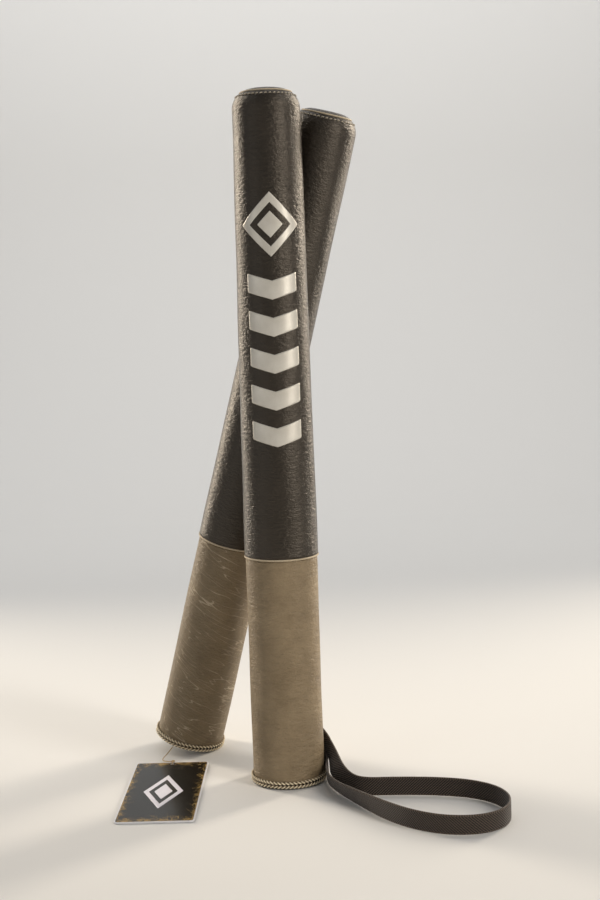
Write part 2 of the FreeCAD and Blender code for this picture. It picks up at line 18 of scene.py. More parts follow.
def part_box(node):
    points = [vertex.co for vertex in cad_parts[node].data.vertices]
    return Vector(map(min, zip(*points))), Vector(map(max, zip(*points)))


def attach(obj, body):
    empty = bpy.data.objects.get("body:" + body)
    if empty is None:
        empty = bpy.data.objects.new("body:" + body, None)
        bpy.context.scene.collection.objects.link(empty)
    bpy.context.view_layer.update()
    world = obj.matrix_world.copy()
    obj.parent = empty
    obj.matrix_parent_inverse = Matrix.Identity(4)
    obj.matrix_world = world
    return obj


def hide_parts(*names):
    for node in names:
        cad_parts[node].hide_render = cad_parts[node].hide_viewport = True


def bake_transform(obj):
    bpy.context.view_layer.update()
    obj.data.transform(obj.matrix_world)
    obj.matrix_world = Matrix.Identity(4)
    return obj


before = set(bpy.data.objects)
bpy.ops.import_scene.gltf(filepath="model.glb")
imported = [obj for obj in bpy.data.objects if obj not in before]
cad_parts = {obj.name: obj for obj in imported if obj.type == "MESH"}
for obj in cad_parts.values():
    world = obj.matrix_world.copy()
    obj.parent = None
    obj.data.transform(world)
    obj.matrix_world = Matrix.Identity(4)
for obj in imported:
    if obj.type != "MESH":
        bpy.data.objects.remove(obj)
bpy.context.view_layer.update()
MM = 0.001
UP = Vector((0, 0, 1))

# %% [markdown]
# ## Camera
# The camera stands a little above the middle of the sticks and looks slightly down. Its place and
# its three turns are given. It comes first, because the soft pieces that lie on the floor
# have to stay in its view.

# %% Camera
camera_place = Vector((0, -1.2234, 0.41316))
yaw, pitch, roll = 0.01581, 0.09737, -0.03322
ahead = Vector((math.sin(yaw) * math.cos(pitch), math.cos(yaw) * math.cos(pitch), -math.sin(pitch)))
level_right = Vector((math.cos(yaw), -math.sin(yaw), 0))
level_up = level_right.cross(ahead)
camera_right = level_right * math.cos(roll) + level_up * math.sin(roll)
camera_up = level_up * math.cos(roll) - level_right * math.sin(roll)

camera = bpy.data.objects.new("camera", bpy.data.cameras.new("camera"))
bpy.context.scene.collection.objects.link(camera)
camera.data.sensor_width = 36
camera.data.lens = 56.35
camera.matrix_world = Matrix((
    (camera_right.x, camera_up.x, -ahead.x, camera_place.x),
    (camera_right.y, camera_up.y, -ahead.y, camera_place.y),
    (camera_right.z, camera_up.z, -ahead.z, camera_place.z),
    (0, 0, 0, 1)))
bpy.context.scene.camera = camera
print(f"camera {camera_place.length:.2f} m from the standing stick's base")

# %% [markdown]
# ## Measures from the frame
# The standing stick is upright, so its boxes give radii and levels directly. The ring-shaped
# nodes of the leaning stick are centred on its axis, so two of them give its direction, and its
# turn is the shortest one from upright.

# %% Measures of one stick
def middle(node):
    """Centre of a CAD node's box."""
    low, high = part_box(node)
    return (low + high) / 2


def extent(node):
    """Width, depth and height of a CAD node's box."""
    low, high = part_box(node)
    return high - low


grip_radius = extent("front_grip_cover").x / 2
strike_radius = extent("front_striking_cover").x / 2
stick_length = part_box("front_tip_cap")[1].z
cover_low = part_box("front_striking_cover")[0].z
grip_low, grip_high = (corner.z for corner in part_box("front_grip_cover"))
lip_level = middle("front_grip_lip").z
lip_thick = extent("front_grip_lip").z
lip_ring = extent("front_grip_lip").x / 2 - lip_thick / 2
piping_level = middle("front_tip_piping").z
piping_thick = extent("front_tip_piping").z
piping_ring = extent("front_tip_piping").x / 2 - piping_thick / 2
lacing_levels = {row: middle(f"front_lacing_{row}").z for row in ("lower", "upper")}
lacing_outer = extent("front_lacing_lower").x / 2
skirt_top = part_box("front_butt_cap")[1].z
leather = 1.5 * MM
tip_radius = 29 * MM
tip_round = 17 * MM
taper = (strike_radius - tip_radius) / (stick_length - lip_level)
print(f"stick {stick_length:.3f} m long, {2 * strike_radius:.4f} m across, taper {taper:.4f}")


# %% Where each stick stands
def stick_place(side):
    """Turn and base of a stick: its axis runs from the lower lacing's centre to the piping's."""
    low, high = middle(f"{side}_lacing_lower"), middle(f"{side}_tip_piping")
    axis = (high - low).normalized()
    turn = UP.rotation_difference(axis).to_matrix()
    return np.array(turn), np.array(low - axis * lacing_levels["lower"])


PLACES = {side: stick_place(side) for side in ("front", "rear")}
for side, (turn, base) in PLACES.items():
    print(f"{side} stick base {np.round(base, 4)}, lean {math.degrees(math.acos(turn[2, 2])):.1f} degrees")


# %% [markdown]
# ## Surfaces from grids
# Every new piece is a grid of points worked out with numpy: rows run one way over the surface and
# columns the other. Neighbours make four-sided faces. Where a surface closes on itself, the last
# column repeats the first, and merging doubles sews the seam and the poles. A pair of numbers goes
# with each point for the texture: metres across and metres along, so a weave keeps its real size.

# %% One piece from grids
def grid_faces(count, rows, columns):
    """Corner numbers of the faces of `count` grids, all of one size, laid one after another."""
    index = np.arange(rows * columns).reshape(rows, columns)
    faces = np.stack([index[:-1, :-1], index[1:, :-1], index[1:, 1:], index[:-1, 1:]], -1)
    steps = np.arange(count) * rows * columns
    return (faces.reshape(1, -1, 4) + steps[:, None, None]).reshape(-1, 4)


def pairs(first, second):
    """Two arrays of numbers as one array of pairs, such as metres across and along."""
    return np.stack(np.broadcast_arrays(first, second), -1)


def round_points(radius, angle, level):
    """Points round a stick's upright axis, before the stick is set in its place."""
    radius, angle, level = np.broadcast_arrays(radius, angle, level)
    return np.stack([radius * np.cos(angle), radius * np.sin(angle), level], -1)


def piece(name, grids, side=None):
    """A closed mesh from grids of (points, texture), set in its place on one of the sticks.

    A grid is rows x columns x 3, or many such grids in one array. Doubles are merged, and then
    the faces are turned to point outwards.
    """
    points, texture, faces, total = [], [], [], 0
    for grid, across in grids:
        rows, columns = grid.shape[-3:-1]
        flat = grid.reshape(-1, 3)
        faces.append(grid_faces(len(flat) // (rows * columns), rows, columns) + total)
        points.append(flat)
        texture.append(np.broadcast_to(across, grid.shape[:-1] + (2,)).reshape(-1, 2))
        total += len(flat)
    points, texture, faces = np.vstack(points), np.vstack(texture), np.vstack(faces)
    if side:
        turn, base = PLACES[side]
        points = points @ turn.T + base
    mesh = bpy.data.meshes.new(name)
    mesh.from_pydata(points, [], faces)
    layer = mesh.uv_layers.new(name="surface")
    layer.data.foreach_set("uv", texture[faces.ravel()].astype(np.float32).ravel())
    edited = bmesh.new()
    edited.from_mesh(mesh)
    bmesh.ops.remove_doubles(edited, verts=edited.verts, dist=1e-6)
    bmesh.ops.recalc_face_normals(edited, faces=edited.faces)
    edited.to_mesh(mesh)
    edited.free()
    mesh.shade_smooth()
    made = bpy.data.objects.new(name, mesh)
    bpy.context.scene.collection.objects.link(made)
    return made


def dress(made, body, material, slot, *replaced):
    """Give a piece its finish, the body it moves with and the CAD nodes it stands for."""
    made.data.materials.append(material)
    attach(made, body)
    if replaced:
        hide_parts(*replaced)
    return made


def stick_piece(side, name, grids, material, slot, *parts):
    """A dressed piece of one stick; `parts` are the CAD nodes it stands for, without the side."""
    made = piece(f"{side}_{name}", grids, side)
    return dress(made, f"{side}_stick", material, slot, *(f"{side}_{part}" for part in parts))


# %% [markdown]
# ## Node materials
# Each finish is a Principled shader with procedural patterns. Four small helpers keep the node
# code readable: one starts a material, one adds a node, one does arithmetic, and one links a
# pattern to the shader. A value that is the same all over is written on the shader's own socket.

# %% Material helpers
def finish(name, color, roughness, **sockets):
    """A material with its Principled shader; `sockets` are uniform values such as sheen_weight."""
    material = bpy.data.materials.new(name)
    material.use_nodes = True
    shader = material.node_tree.nodes["Principled BSDF"]
    shader.inputs["Base Color"].default_value = (*color, 1)
    shader.inputs["Roughness"].default_value = roughness
    for socket, value in sockets.items():
        label = socket.replace("_", " ").title().replace("Ior", "IOR")
        shader.inputs[label].default_value = value
    return material


def add(material, kind, output=0, settings=None, **inputs):
    """Add a node, set or link its inputs, and return one of its outputs."""
    tree = material.node_tree
    made = tree.nodes.new(kind)
    for key, value in (settings or {}).items():
        setattr(made, key, value)
    for key, value in inputs.items():
        socket = made.inputs[int(key[1:])] if key[0] == "_" else made.inputs[key]
        if isinstance(value, bpy.types.NodeSocket):
            tree.links.new(value, socket)
        else:
            socket.default_value = value
    return made.outputs[output]


def calc(material, operation, *values):
    """One step of arithmetic on numbers or sockets, such as MULTIPLY or SINE."""
    inputs = {f"_{index}": value for index, value in enumerate(values)}
    return add(material, "ShaderNodeMath", settings={"operation": operation}, **inputs)


def connect(material, socket, value):
    """Link a pattern to one of the Principled shader's sockets."""
    shader = material.node_tree.nodes["Principled BSDF"]
    material.node_tree.links.new(value, shader.inputs[socket])


# %% Patterns used by several finishes
def surface_metres(material, scale=(1, 1), turn=0.0):
    """The piece's own texture coordinates, turned and then stretched."""
    spot = add(material, "ShaderNodeTexCoord", "UV")
    turned_spot = add(material, "ShaderNodeMapping", Vector=spot, Rotation=(0, 0, turn))
    return add(material, "ShaderNodeMapping", Vector=turned_spot, Scale=(scale[0], scale[1], 1))


def noise(material, spot, scale, detail=3.0, roughness=0.55):
    """Soft cloudy noise from 0 to 1 at `scale` features to the metre."""
    return add(material, "ShaderNodeTexNoise", Vector=spot, Scale=scale, Detail=detail,
               Roughness=roughness)


def spread(material, value, low, high, new_low=0.0, new_high=1.0):
    """Stretch the range low..high of a pattern to a new range, held at its ends."""
    return add(material, "ShaderNodeMapRange", Value=value, _1=low, _2=high, _3=new_low,
               _4=new_high)


def blend_colors(material, factor, first, second):
    """A colour between two, by a pattern from 0 to 1."""
    first, second = ((*end, 1) if isinstance(end, tuple) else end for end in (first, second))
    return add(material, "ShaderNodeMix", 2, {"data_type": "RGBA"}, _0=factor, _6=first, _7=second)


def tint(material, factor, dark, light):
    """Give a finish its colour: from dark to light, by a pattern from 0 to 1."""
    connect(material, "Base Color", blend_colors(material, factor, dark, light))


def emboss(material, height, distance, strength=1.0, under=None):
    """Bump of a height pattern, with `distance` metres from its 0 to its 1."""
    inputs = {"Height": height, "Distance": distance, "Strength": strength}
    if under is not None:
        inputs["Normal"] = under
    return add(material, "ShaderNodeBump", **inputs)


# %% [markdown]
# ## Floor and light
# The sweep is one curved sheet: a flat floor that bends up into a wall, so no corner shows. It is
# pale grey. A tall warm lamp stands to the front right and a weak one to the front left. Two
# narrow amber ones behind the sticks draw a light line down each side of the black leather, and
# the strongest hangs high over the sweep and faces its wall.

# %% Sweep
floor_front, floor_back, bend_radius, wall_height, half_width = -2.5, 1.6, 0.8, 3.0, 4.0
turn_angles = np.linspace(0, math.pi / 2, 20)
profile = np.vstack([
    [[floor_front, 0]],
    np.column_stack([floor_back + bend_radius * np.sin(turn_angles),
                     bend_radius * (1 - np.cos(turn_angles))]),
    [[floor_back + bend_radius, wall_height]]])
sweep_points = np.array([[(x, y, z - 0.3 * MM) for x in (-half_width, half_width)]
                         for y, z in profile])
sweep_mesh = bpy.data.meshes.new("sweep")
sweep_mesh.from_pydata(sweep_points.reshape(-1, 3), [], grid_faces(1, len(profile), 2))
sweep_mesh.flip_normals()
sweep_mesh.shade_smooth()
sweep = bpy.data.objects.new("sweep", sweep_mesh)
bpy.context.scene.collection.objects.link(sweep)
paper = finish("paper", (0.78, 0.77, 0.75), 0.9)
paper_spot = add(paper, "ShaderNodeTexCoord", "Object")
connect(paper, "Normal", emboss(paper, noise(paper, paper_spot, 900), 0.1 * MM, 0.4))
sweep_mesh.materials.append(paper)


# %% Lamps
def softbox(name, place, aim, size, power, color=(1, 1, 1), spread_angle=math.pi):
    """A rectangular area lamp that faces `aim`, `size` metres wide and high."""
    lamp = bpy.data.lights.new(name, "AREA")
    lamp.shape = "RECTANGLE"
    lamp.size, lamp.size_y = size
    lamp.energy = power
    lamp.color = color
    lamp.spread = spread_angle
    holder = bpy.data.objects.new(name, lamp)
    bpy.context.scene.collection.objects.link(holder)
    holder.location = place
    holder.rotation_euler = (Vector(aim) - Vector(place)).to_track_quat("-Z", "Y").to_euler()


stick_middle = (0, 0, stick_length / 2)
warm, amber = (1.0, 0.94, 0.86), (1.0, 0.88, 0.72)
softbox("key", (1.25, -1.0, 0.9), stick_middle, (0.38, 1.4), 14, warm)
softbox("fill", (-1.5, -1.2, 0.7), stick_middle, (1.0, 1.2), 2.5)
softbox("rim_left", (-0.9, 0.75, 0.75), stick_middle, (0.2, 1.3), 3.2, amber, math.radians(80))
softbox("rim_right", (0.95, 0.8, 0.75), stick_middle, (0.2, 1.3), 3.2, amber, math.radians(80))
softbox("backdrop", (0, 0.9, 2.3), (0, 2.5, 0.9), (3.0, 0.8), 34)
world = bpy.data.worlds.new("studio")
bpy.context.scene.world = world
world.use_nodes = True
world.node_tree.nodes["Background"].inputs["Color"].default_value = (1, 1, 1, 1)
world.node_tree.nodes["Background"].inputs["Strength"].default_value = 0.22
bpy.context.scene.view_settings.view_transform = "Standard"

# %% [markdown]
# ## Finishes
# Leather is the main one. Real coated leather has a fine pebble grain under a thin gloss, short
# level wrinkles, long creases where it was pulled round the foam, and cloudy colour. The grain is
# the distance to the edges of small cells. Wrinkles and creases are noise stretched sideways, and
# a crease is where that noise passes its middle value. On the leaning stick's grip the creases run
# aslant and are worn pale.


# %% Leather
def leather_finish(name, dark, light, roughness, grain, crease_depth=0.1 * MM, crease_turn=0.0,
                   crease_color=None, gloss=0.5):
    """Leather: pebbles `grain` metres across, level wrinkles, and long creases turned by an angle."""
    made = finish(name, dark, roughness, specular_ior_level=gloss,
                  specular_tint=(1.0, 0.88, 0.74, 1.0))
    plain = surface_metres(made)
    cells = add(made, "ShaderNodeTexVoronoi", 0, {"feature": "DISTANCE_TO_EDGE"},
                Vector=surface_metres(made, (0.6, 1.0)), Scale=1 / grain)
    pebble = spread(made, cells, 0.0, 0.30)
    pores = noise(made, plain, 1.6 / grain, 3)
    wrinkles = spread(made, noise(made, surface_metres(made, (0.45, 1.0)), 0.6 / grain, 3, 0.6),
                      0.34, 0.66)
    folds = noise(made, surface_metres(made, (0.13, 1.0), crease_turn), 150, 1.5, 0.5)
    folds = calc(made, "ABSOLUTE", calc(made, "SUBTRACT", folds, 0.5))
    creases = spread(made, folds, 0.0, 0.016, 1.0, 0.0)
    blotch = noise(made, plain, 38, 3)
    tone = calc(made, "MULTIPLY_ADD", blotch, 0.65, calc(made, "MULTIPLY", pores, 0.25))
    tone = calc(made, "MULTIPLY_ADD", wrinkles, 0.1, tone)
    color = blend_colors(made, spread(made, tone, 0.3, 0.7), dark, light)
    if crease_color:
        wear = calc(made, "MULTIPLY", creases, spread(made, blotch, 0.4, 0.6, 0.25, 1.0))
        color = blend_colors(made, wear, color, crease_color)
    connect(made, "Base Color", color)
    connect(made, "Roughness", spread(made, tone, 0.3, 0.7, roughness - 0.05, roughness + 0.08))
    normal = emboss(made, creases, crease_depth)
    normal = emboss(made, wrinkles, 0.24 * grain, 1.0, normal)
    normal = emboss(made, calc(made, "MULTIPLY_ADD", pores, 0.5, pebble), 0.06 * grain, 1.0, normal)
    connect(made, "Normal", normal)
    return made


black_leather = leather_finish("black_leather", (0.006, 0.0045, 0.0033), (0.018, 0.0135, 0.0095),
                               0.34, 1.4 * MM, gloss=0.75)
taupe_leather = leather_finish("taupe_leather", (0.195, 0.143, 0.083), (0.325, 0.248, 0.152),
                               0.46, 2.2 * MM)
creased_leather = leather_finish("creased_leather", (0.160, 0.118, 0.068), (0.260, 0.200, 0.124),
                                 0.48, 1.5 * MM, 0.2 * MM, 0.34, (0.56, 0.46, 0.33))
butt_leather = leather_finish("butt_leather", (0.030, 0.024, 0.020), (0.050, 0.040, 0.032),
                              0.60, 1.0 * MM)
cream_leather = leather_finish("cream_leather", (0.46, 0.37, 0.25), (0.66, 0.56, 0.41),
                               0.50, 0.4 * MM)
GRIP_LEATHER = {"front": taupe_leather, "rear": creased_leather}
print("grip leathers:", ", ".join(material.name for material in GRIP_LEATHER.values()))


# %% [markdown]
# ## Webbing, string and thread
# Webbing is a twill, so its surface is rows of slanted ribs, and its two edges are firmer. Its
# colour follows these heights: painted light on the ribs and edges, painted shade in the grooves.
# Its pattern is made from the piece's own texture, metres across and metres along, so it turns
# and twists with the strap. The string and the sewing thread only need fine slanted fibres.

# %% Woven and twisted finishes
def woven_finish(name, dark, light, rib, edge_width, half_width):
    """Twill webbing: slanted ribs crossed by finer lines, with a beaded edge on both sides."""
    made = finish(name, dark, 0.75, specular_ior_level=0.3, sheen_weight=0.25, sheen_roughness=0.5)
    spot = add(made, "ShaderNodeSeparateXYZ", 0, Vector=surface_metres(made))
    across, along = spot, spot.node.outputs[1]
    slant = calc(made, "MULTIPLY_ADD", across, 1.1, along)
    ribs = calc(made, "SINE", calc(made, "MULTIPLY", slant, 2 * math.pi / rib))
    threads = calc(made, "SINE", calc(made, "MULTIPLY", across, 2 * math.pi / (rib * 0.55)))
    body = calc(made, "MULTIPLY_ADD", ribs, 0.42, calc(made, "MULTIPLY_ADD", threads, 0.12, 0.46))
    beads = calc(made, "SINE", calc(made, "MULTIPLY", along, 2 * math.pi / (rib * 0.8)))
    edge = calc(made, "MULTIPLY_ADD", beads, 0.35, 0.75)
    side = calc(made, "GREATER_THAN", calc(made, "ABSOLUTE", across), half_width - edge_width)
    height = add(made, "ShaderNodeMix", 0, {"data_type": "FLOAT"}, _0=side, _2=body, _3=edge)
    fuzz = noise(made, surface_metres(made), 2600, 2)
    # Painted light and shade: the colour follows the rib height, pale on the ribs and beaded edges and
    # dark in the grooves; the fuzz is the webbing's own tone.
    tone = calc(made, "MULTIPLY_ADD", fuzz, 0.2, calc(made, "MULTIPLY", height, 0.9))
    tint(made, spread(made, tone, 0.35, 0.95), dark, light)
    connect(made, "Normal", emboss(made, height, 0.55 * MM, 1.0))
    return made


def fibre_finish(name, dark, light, roughness, pitch, hump=None):
    """Twisted thread: fine slanted lines with the given pitch along the strand.

    A braided lace also has `hump`, the metres from one hump to the next: its colour follows the
    humps in place of the lines, painted light where a strand is outermost, painted shade between.
    """
    made = finish(name, dark, roughness, sheen_weight=0.2, sheen_roughness=0.4)
    plain = surface_metres(made)
    across = add(made, "ShaderNodeSeparateXYZ", 0, Vector=plain)
    along = across.node.outputs[1]
    slant = calc(made, "ADD", across, along)
    lines = calc(made, "SINE", calc(made, "MULTIPLY", slant, 2 * math.pi / pitch))
    if hump:
        # Painted light and shade: pale where the strand is outermost, dark where it dives between the
        # humps; the noise is the lace's own tone.
        humps = calc(made, "COSINE", calc(made, "MULTIPLY", along, math.pi / hump))
        tone = calc(made, "MULTIPLY_ADD", noise(made, plain, 1800, 3), 0.4, humps)
        tint(made, spread(made, tone, -0.2, 0.9), dark, light)
    else:
        tone = calc(made, "MULTIPLY_ADD", lines, 0.25, noise(made, plain, 3000, 2))
        tint(made, spread(made, tone, 0.25, 0.75), dark, light)
    connect(made, "Normal", emboss(made, lines, 0.05 * MM, 0.6))
    return made


webbing_half_width, webbing_half_thick = 8 * MM, 0.9 * MM
# The webbing colour runs from painted shade in the grooves to painted light on the ribs and edges.
webbing_finish = woven_finish("brown_webbing", (0.007, 0.005, 0.004), (0.125, 0.088, 0.062),
                              2.5 * MM, 1.2 * MM, webbing_half_width)
thread_finish = fibre_finish("waxed_thread", (0.30, 0.25, 0.18), (0.52, 0.45, 0.34), 0.55, 0.5 * MM)
gold_finish = fibre_finish("golden_string", (0.42, 0.27, 0.09), (0.72, 0.52, 0.25), 0.45, 0.4 * MM)


# %% [markdown]
# ## Soft routes
# A strap or a string lies along one smooth line. The line is a NURBS spline whose control points
# are listed, the same points that the imported model uses, though here both strap ends go
# 2 mm in under the patch. For flat webbing each point also has a direction for its width, and a
# second spline along one edge carries that direction. Both splines have as many points, so their
# samples match one to one.

# %% Route helpers
def spline_points(name, points, samples=12):
    """Points along a NURBS spline through the neighbourhood of the control points."""
    curve = bpy.data.curves.new(name, "CURVE")
    curve.dimensions = "3D"
    curve.resolution_u = samples
    spline = curve.splines.new("NURBS")
    spline.points.add(len(points) - 1)
    for target, point in zip(spline.points, points):
        target.co = (*point, 1)
    spline.order_u = 3
    spline.use_endpoint_u = True
    holder = bpy.data.objects.new(name, curve)
    sampled = bpy.data.meshes.new_from_object(holder)
    line = np.array([vertex.co for vertex in sampled.vertices])
    bpy.data.objects.remove(holder)
    bpy.data.curves.remove(curve)
    bpy.data.meshes.remove(sampled)
    return line


def run_length(line):
    """Length so far at each point of a line."""
    steps = np.linalg.norm(np.diff(line, axis=0), axis=1)
    return np.concatenate([[0], np.cumsum(steps)])


def directions(line):
    """Unit direction of a line at each of its points."""
    along = np.gradient(line, axis=0)
    return along / np.linalg.norm(along, axis=1, keepdims=True)


def frames_along(line, hint):
    """Two unit directions across a line at each point; the second is as near to `hint` as can be."""
    along = directions(line)
    high = hint - along * np.sum(along * hint, axis=1, keepdims=True)
    high = high / np.linalg.norm(high, axis=1, keepdims=True)
    return np.cross(along, high), high


def capped(rings):
    """Close a tube of rings: its first and last rings shrink to their centres."""
    first = np.broadcast_to(rings[:1].mean(axis=1, keepdims=True), rings[:1].shape)
    last = np.broadcast_to(rings[-1:].mean(axis=1, keepdims=True), rings[-1:].shape)
    return np.concatenate([first, rings, last])


# %% Route of the wrist strap
floor_middle = 8.3
tucked_end, end_levels = (19.9, 26.9), (21, 40)
strap_near = [
    ((*tucked_end, end_levels[0]), (0, 0, 1)), ((29.7, 18.7, 15.3), (0.2, -0.2, 0.95)),
    ((34, 8.6, 10.8), (0, -0.2, 0.98)), ((35, -3, 9), (-0.05, 0, 1)),
    ((33, -20.5, 8.3), (-0.1, -0.1, 0.98)), ((39.6, -49.1, 7.6), (-0.42, -0.26, 0.87)),
    ((59.4, -85.2, 8.2), (-0.2, -0.15, 0.97))]
strap_loop = [(79, -116), (97, -136), (120, -151), (146, -154), (166, -145), (177, -128),
              (179.5, -107), (172, -86), (154, -70), (131, -61.5), (106, -57), (82.5, -55)]
strap_far = [
    ((68, -54.6, 8.3), (0.05, 0, 1)), ((56.5, -50, 8.8), (0.14, -0.05, 0.98)),
    ((48.3, -40, 11), (0.36, -0.14, 0.92)), ((41.6, -26.4, 15.4), (0.6, -0.16, 0.78)),
    ((40, -12.5, 18.2), (0.46, -0.2, 0.86)), ((38.8, 0, 21.5), (0.22, -0.25, 0.94)),
    ((32.5, 19.5, 30.8), (0.12, -0.25, 0.96)), ((*tucked_end, end_levels[1]), (0, 0, 1))]
strap_stations = strap_near + [((x, y, floor_middle), (0, 0, 1)) for x, y in strap_loop] + strap_far
strap_middles = np.array([place for place, _ in strap_stations]) * MM
strap_ways = np.array([way for _, way in strap_stations])
strap_line = spline_points("strap_line", strap_middles)
strap_edge = spline_points("strap_edge", strap_middles + strap_ways * webbing_half_width)
strap_side, strap_high = frames_along(strap_line, strap_edge - strap_line)
strap_length = run_length(strap_line)[-1]
print(f"wrist strap {strap_length:.3f} m along its middle")

# %% [markdown]
# ## Wrist strap
# The webbing's section is a flat oval with square shoulders, a superellipse: each coordinate is
# the cosine or sine of an angle raised to a small power, which keeps its sign. It is carried along
# the route. Both ends are sewn under a patch on the grip.

# %% Wrist strap
section_angle = np.linspace(0, 2 * math.pi, 29)
squareness = 0.28


def shoulder(wave):
    """A sine or cosine pushed towards its ends, for a flat shape with rounded corners."""
    return np.sign(wave) * np.abs(wave) ** squareness


section_side = webbing_half_thick * shoulder(np.cos(section_angle))
section_high = webbing_half_width * shoulder(np.sin(section_angle))
strap_rings = (strap_line[:, None]
               + strap_side[:, None] * section_side[None, :, None]
               + strap_high[:, None] * section_high[None, :, None])
strap_texture = pairs(section_high[None, :], run_length(strap_line)[:, None])
strap_texture = np.concatenate([strap_texture[:1], strap_texture, strap_texture[-1:]])
strap = piece("wrist_strap_webbing", [(capped(strap_rings), strap_texture)])
strap.data.materials.append(webbing_finish)
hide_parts("wrist_strap")
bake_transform(strap)
print("strap faces:", len(strap.data.polygons))


# %% [markdown]
# ## Tag string
# Three thin strands wind round the string's line. Each strand's centre is the line plus a small
# circle in the plane across it, with an angle that grows with length; each strand is a tube round
# that centre. The loop through the tag's hole is made in the same way.

# %% Twisted cord
def twisted_cord(line, radius, pitch, strands=3, sides=7):
    """Grids of `strands` tubes that wind round a line, together as thick as 2 x radius."""
    side, high = frames_along(line, np.broadcast_to((0.05, 0.1, 1.0), line.shape))
    along = run_length(line)
    offset = radius * 0.5
    around = np.linspace(0, 2 * math.pi, sides)
    grids = []
    for strand in range(strands):
        angle = 2 * math.pi * (along / pitch + strand / strands)
        centre = line + offset * (np.cos(angle)[:, None] * side + np.sin(angle)[:, None] * high)
        tube = centre[:, None] + (radius - offset) * (
            np.cos(around)[None, :, None] * side[:, None]
            + np.sin(around)[None, :, None] * high[:, None])
        rows = np.concatenate([along[:1], along, along[-1:]])
        grids.append((capped(tube), pairs(around[None, :] * radius, rows[:, None])))
    return grids


string_route = [(-108.98, 77.69, 8.67), (-112.98, 73.69, 4.2), (-117.48, 68.19, 1.2),
                (-117.98, 61.19, 0.7), (-113.28, 57.09, 0.9), (-107.08, 53.58, 1.91)]
string_line = spline_points("string_line", np.array(string_route) * MM, 16)
string_thick = 0.9 * MM
string = piece("tag_string_strands", twisted_cord(string_line, string_thick / 2, 2.4 * MM))
dress(string, "hang_tag", gold_finish, "string", "tag_string")
print(f"tag string {run_length(string_line)[-1]:.4f} m")


# %% [markdown]
# ## Tag, knot and loop
# The tag lies nearly flat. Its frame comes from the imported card: the knot sits on the card's long
# middle line, which gives the heading, and the height of the box gives the small tilt. The knot
# is a closed curve that winds twice round while it goes three times through, as in a tied knot.

# %% The tag's own frame
card_low, card_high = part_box("tag_card")
card_middle = (card_low + card_high) / 2
to_knot = middle("tag_knot") - card_middle
heading = math.atan2(to_knot.y, to_knot.x)
card_length, card_width, card_thick = 150 * MM, 67 * MM, 1.3 * MM
film_top = 0.15 * MM
tilt = math.asin((card_high.z - card_low.z - card_thick) / card_length)
tag_turn = Matrix.Rotation(heading, 3, "Z") @ Matrix.Rotation(-tilt, 3, "Y")
print(f"tag heading {math.degrees(heading):.1f} degrees, tilt {math.degrees(tilt):.2f}")


def on_tag(along, across, height):
    """Points on the tag: metres from its middle along and across it, and above its middle plane."""
    local = np.stack(np.broadcast_arrays(along, across, height), -1)
    return local @ np.array(tag_turn).T + np.array(card_middle)


# %% Knot and loop
knot_radius, knot_thread = 1.05 * MM, 0.5 * MM
phase = np.linspace(0, 2 * math.pi, 73)
knot_swing = knot_radius * (1 + 0.45 * np.cos(3 * phase))
knot_local = np.column_stack([0.75 * MM * np.sin(3 * phase), knot_swing * np.cos(2 * phase),
                              knot_swing * np.sin(2 * phase)])
knot_line = knot_local @ np.array(tag_turn).T + np.array(middle("tag_knot"))
knot = piece("tag_knot_turns", twisted_cord(knot_line, knot_thread, 2.4 * MM))
dress(knot, "hang_tag", gold_finish, "string", "tag_knot")
knot_along = (tag_turn.transposed() @ to_knot).x
hole_along, pull = card_length / 2 - 5 * MM, 2.5 * MM
clear = 0.2 * MM
above = card_thick / 2 + film_top + clear + string_thick / 2
below = -card_thick / 2 - clear - string_thick / 2
loop_route = np.array([(knot_along, above), (hole_along + pull, above), (hole_along, above),
                       (hole_along - string_thick, 0), (hole_along, below),
                       (hole_along + pull, below), (knot_along, below)])
loop_line = spline_points("loop_line", on_tag(loop_route[:, 0], 0, loop_route[:, 1]), 10)
loop = piece("tag_loop_strands", twisted_cord(loop_line, string_thick / 2, 2.4 * MM))
dress(loop, "hang_tag", gold_finish, "string", "tag_loop")


# %% [markdown]
# ## Tag
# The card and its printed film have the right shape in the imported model, so they stay and get
# finishes. The film is smooth black with worn golden specks near its rim: noise, let through only
# close to the edge. A Mapping node turns the Object coordinates to lie along the card.

# %% Tag finishes
card_board = finish("card_board", (0.80, 0.79, 0.82), 0.35, coat_weight=0.3, coat_roughness=0.2)
board_spot = add(card_board, "ShaderNodeTexCoord", "Object")
board_tone = noise(card_board, board_spot, 900)
tint(card_board, board_tone, (0.70, 0.69, 0.71), (0.86, 0.85, 0.88))
connect(card_board, "Normal", emboss(card_board, board_tone, 0.05 * MM, 0.5))

film = finish("card_print", (0.004, 0.004, 0.004), 0.25, specular_ior_level=0.22, coat_weight=0.08,
              coat_roughness=0.1)
film_object = add(film, "ShaderNodeTexCoord", "Object")
film_spot = add(film, "ShaderNodeMapping", 0, {"vector_type": "TEXTURE"}, Vector=film_object,
                Location=card_middle, Rotation=(0, 0, heading))
film_parts = add(film, "ShaderNodeSeparateXYZ", 0, Vector=film_spot)
end_distance = calc(film, "SUBTRACT", card_length / 2, calc(film, "ABSOLUTE", film_parts))
side_distance = calc(film, "SUBTRACT", card_width / 2,
                     calc(film, "ABSOLUTE", film_parts.node.outputs[1]))
rim_distance = calc(film, "MINIMUM", calc(film, "MULTIPLY", end_distance, 0.55), side_distance)
rim = spread(film, rim_distance, 1.5 * MM, 14 * MM, 1.0, 0.0)
worn = calc(film, "MULTIPLY", noise(film, film_spot, 150, 8, 0.75), noise(film, film_spot, 1100, 4))
specks = spread(film, calc(film, "MULTIPLY_ADD", rim, 0.22, worn), 0.44, 0.50)
tint(film, specks, (0.004, 0.004, 0.004), (0.42, 0.27, 0.08))
